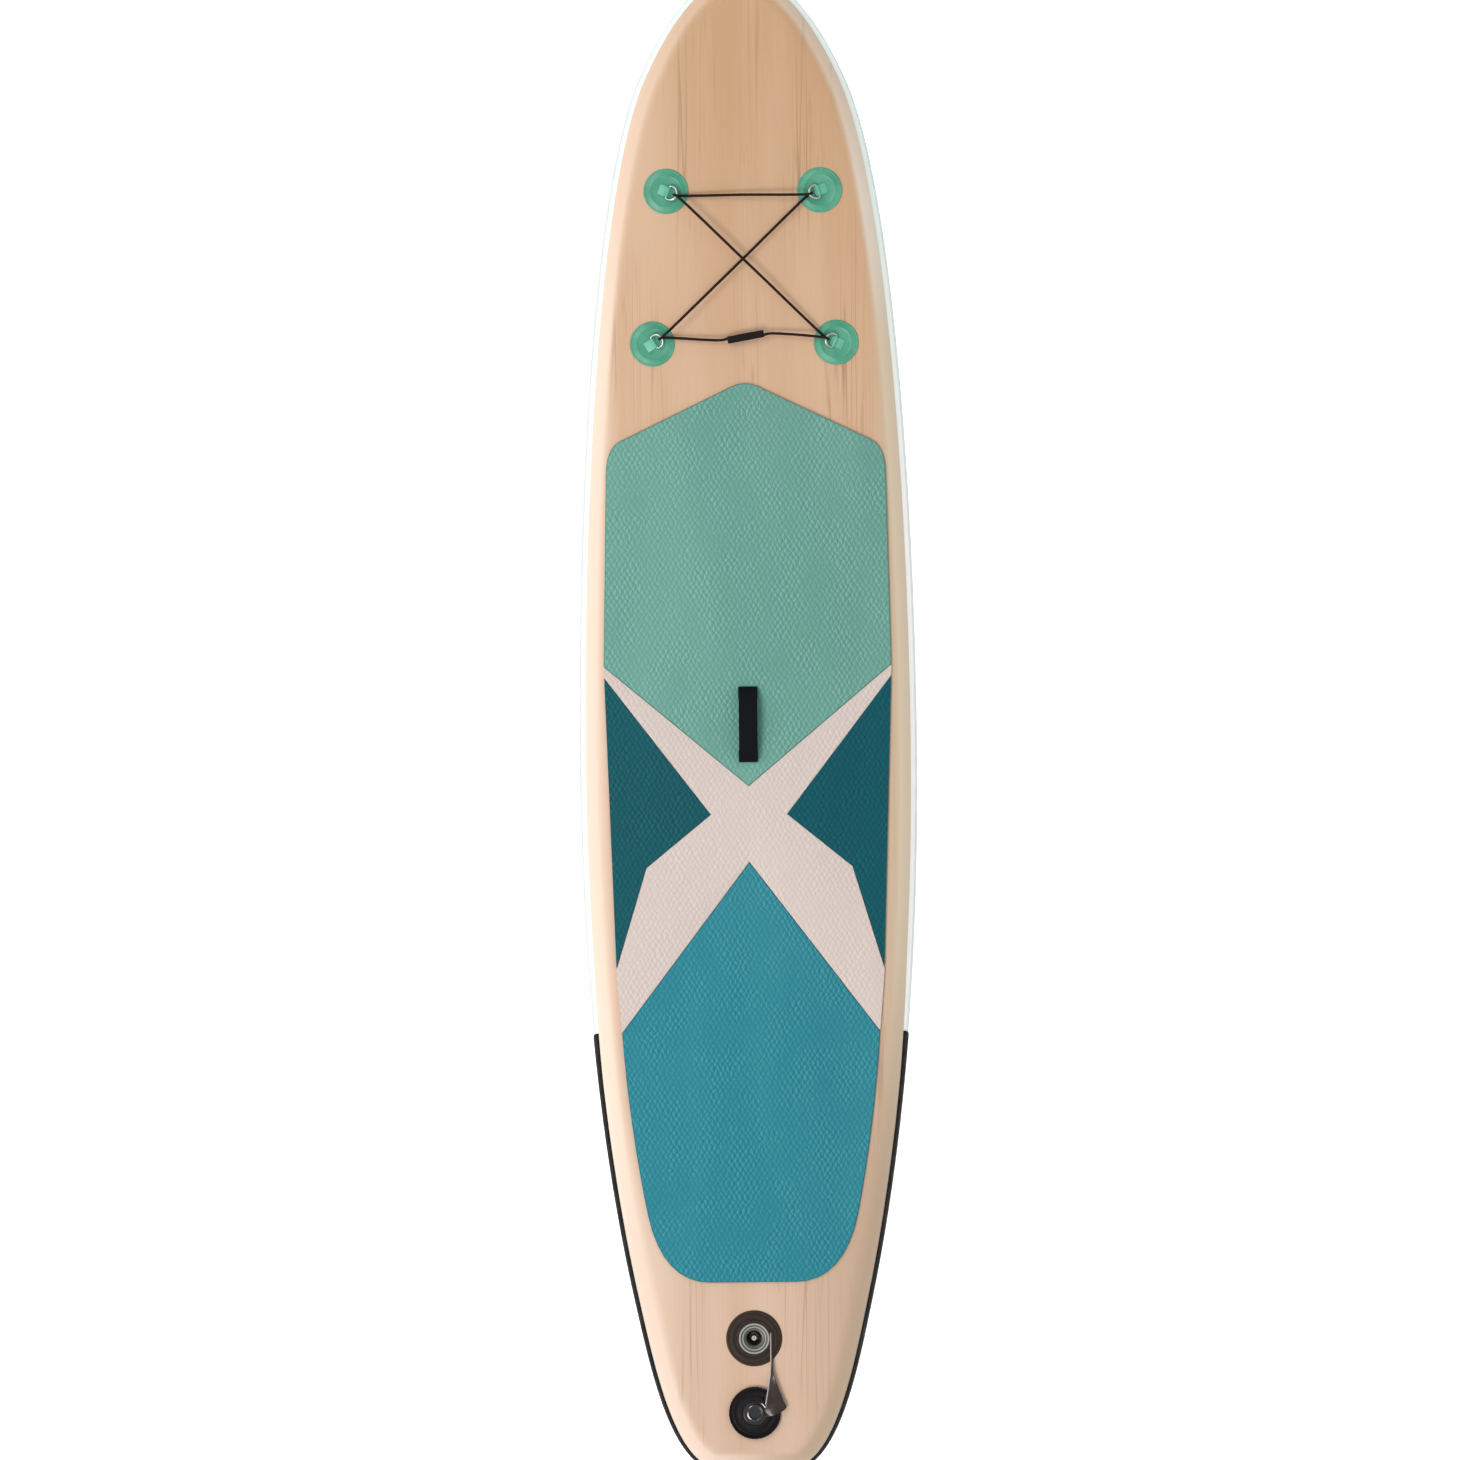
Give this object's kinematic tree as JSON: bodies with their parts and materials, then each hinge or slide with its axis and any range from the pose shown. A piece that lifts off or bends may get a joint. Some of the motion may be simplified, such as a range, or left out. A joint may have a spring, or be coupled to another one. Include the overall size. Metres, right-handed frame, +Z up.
{
  "type": "stand up paddleboard",
  "caption": "Inflatable stand up paddleboard with a round nose, square tail, panelled foam deck pad, carry handle, bungee on D rings, capped air valve and fins.",
  "frame": {"origin": "on the flat bottom of the hull, on the centreline at mid length", "axes": "+Y towards the nose, +X to the right of a rider who faces the nose, +Z up out of the deck"},
  "size_m": [0.76, 3.3515, 0.4617],
  "materials": {
    "woven_cloth": "woven, coated",
    "yarn": "fine white yarn",
    "deck_print": "satin PVC film with a pale wood print",
    "white_pvc": "satin",
    "rail_pvc": "satin",
    "black_pvc": "satin",
    "eva_mint": "embossed matte foam",
    "eva_teal": "embossed matte foam",
    "eva_sand": "embossed matte foam",
    "eva_blue": "embossed matte foam",
    "black_webbing": "ribbed webbing",
    "mint_pvc": "satin",
    "ring_steel": "polished",
    "bungee": "braided sleeve over rubber",
    "joiner_plastic": "satin",
    "valve_rubber": "satin",
    "valve_grey": "satin",
    "cap_plastic": "gloss",
    "seal_rubber": "matte",
    "poppet_seal": "matte",
    "spring_steel": "drawn wire",
    "stem_plastic": "satin",
    "fin_box_plastic": "satin",
    "fin_nylon": "satin",
    "lever_plastic": "satin",
    "side_fin_pvc": "satin"
  },
  "bodies": {
    "board": {"top_drop_stitch_sheet": "woven_cloth", "bottom_drop_stitch_sheet": "woven_cloth", "left_side_wall": "woven_cloth", "right_side_wall": "woven_cloth", "drop_stitch_yarn_rows": "yarn", "deck_skin": "deck_print", "hull_skin": "white_pvc", "left_rail_band": "rail_pvc", "right_rail_band": "rail_pvc", "tail_rail_guard": "black_pvc", "pad_front_panel": "eva_mint", "pad_left_panel": "eva_teal", "pad_right_panel": "eva_teal", "pad_cross_panel": "eva_sand", "pad_rear_panel": "eva_blue", "handle_front_anchor": "black_pvc", "handle_rear_anchor": "black_pvc", "bungee_cord": "bungee", "bungee_joiner": "joiner_plastic", "valve_flange": "valve_rubber", "valve_gasket": "seal_rubber", "valve_body": "valve_grey", "valve_backing_nut": "valve_grey", "valve_spring": "spring_steel", "valve_tether": "valve_rubber", "fin_box": "fin_box_plastic", "left_side_fin": "side_fin_pvc", "right_side_fin": "side_fin_pvc", "front_left_patch": "mint_pvc", "front_left_ring_tab": "mint_pvc", "front_right_patch": "mint_pvc", "front_right_ring_tab": "mint_pvc", "rear_left_patch": "mint_pvc", "rear_left_ring_tab": "mint_pvc", "rear_right_patch": "mint_pvc", "rear_right_ring_tab": "mint_pvc"},
    "carry_handle": {"carry_handle": "black_webbing"},
    "front_left_ring": {"front_left_d_ring": "ring_steel"},
    "front_right_ring": {"front_right_d_ring": "ring_steel"},
    "rear_left_ring": {"rear_left_d_ring": "ring_steel"},
    "rear_right_ring": {"rear_right_d_ring": "ring_steel"},
    "valve_stem": {"valve_stem": "stem_plastic", "valve_seal": "poppet_seal"},
    "valve_cap": {"valve_cap": "cap_plastic", "valve_cap_seal": "seal_rubber"},
    "centre_fin": {"centre_fin": "fin_nylon", "fin_lever_pin": "ring_steel"},
    "fin_lock_lever": {"fin_lock_lever": "lever_plastic"}
  },
  "joints": [
    {"name": "front_left_ring_hinge", "type": "hinge", "parent": "board", "child": "front_left_ring", "pos_m": [-0.16729, 1.18482, 0.19819], "axis": [-0.3746, -0.9219, -0.0988], "range_deg": [-10, 60], "deforming": ["bungee_cord"]},
    {"name": "front_right_ring_hinge", "type": "hinge", "parent": "board", "child": "front_right_ring", "pos_m": [0.16727, 1.18488, 0.1982], "axis": [-0.3584, 0.9283, 0.0995], "range_deg": [-10, 60], "deforming": ["bungee_cord"]},
    {"name": "rear_left_ring_hinge", "type": "hinge", "parent": "board", "child": "rear_left_ring", "pos_m": [-0.20164, 0.85179, 0.17033], "axis": [0.5446, -0.8372, -0.0503], "range_deg": [-10, 60], "deforming": ["bungee_cord"]},
    {"name": "rear_right_ring_hinge", "type": "hinge", "parent": "board", "child": "rear_right_ring", "pos_m": [0.20135, 0.85123, 0.1703], "axis": [0.4067, 0.9119, 0.0548], "range_deg": [-10, 60], "deforming": ["bungee_cord"]},
    {"name": "handle_lift", "type": "slide", "parent": "board", "child": "carry_handle", "axis": [0, 0, 1], "range_m": [0, 0.012], "deforming": ["carry_handle"]},
    {"name": "valve_press", "type": "slide", "parent": "board", "child": "valve_stem", "axis": [0, 0, -1], "range_m": [0, 0.006], "stiffness_N_per_m": 300, "deforming": ["valve_spring"]},
    {"name": "valve_cap_hinge", "type": "hinge", "parent": "board", "child": "valve_cap", "pos_m": [0, -1.454, 0.1569], "axis": [-1, 0, 0], "range_deg": [0, 180], "deforming": ["valve_tether"]},
    {"name": "fin_slide", "type": "slide", "parent": "board", "child": "centre_fin", "axis": [0, -1, 0], "range_m": [0, 0.13]},
    {"name": "fin_lever_hinge", "type": "hinge", "parent": "centre_fin", "child": "fin_lock_lever", "pos_m": [0, -1.374, -0.0215], "axis": [1, 0, 0], "range_deg": [0, 75]}
  ]
}
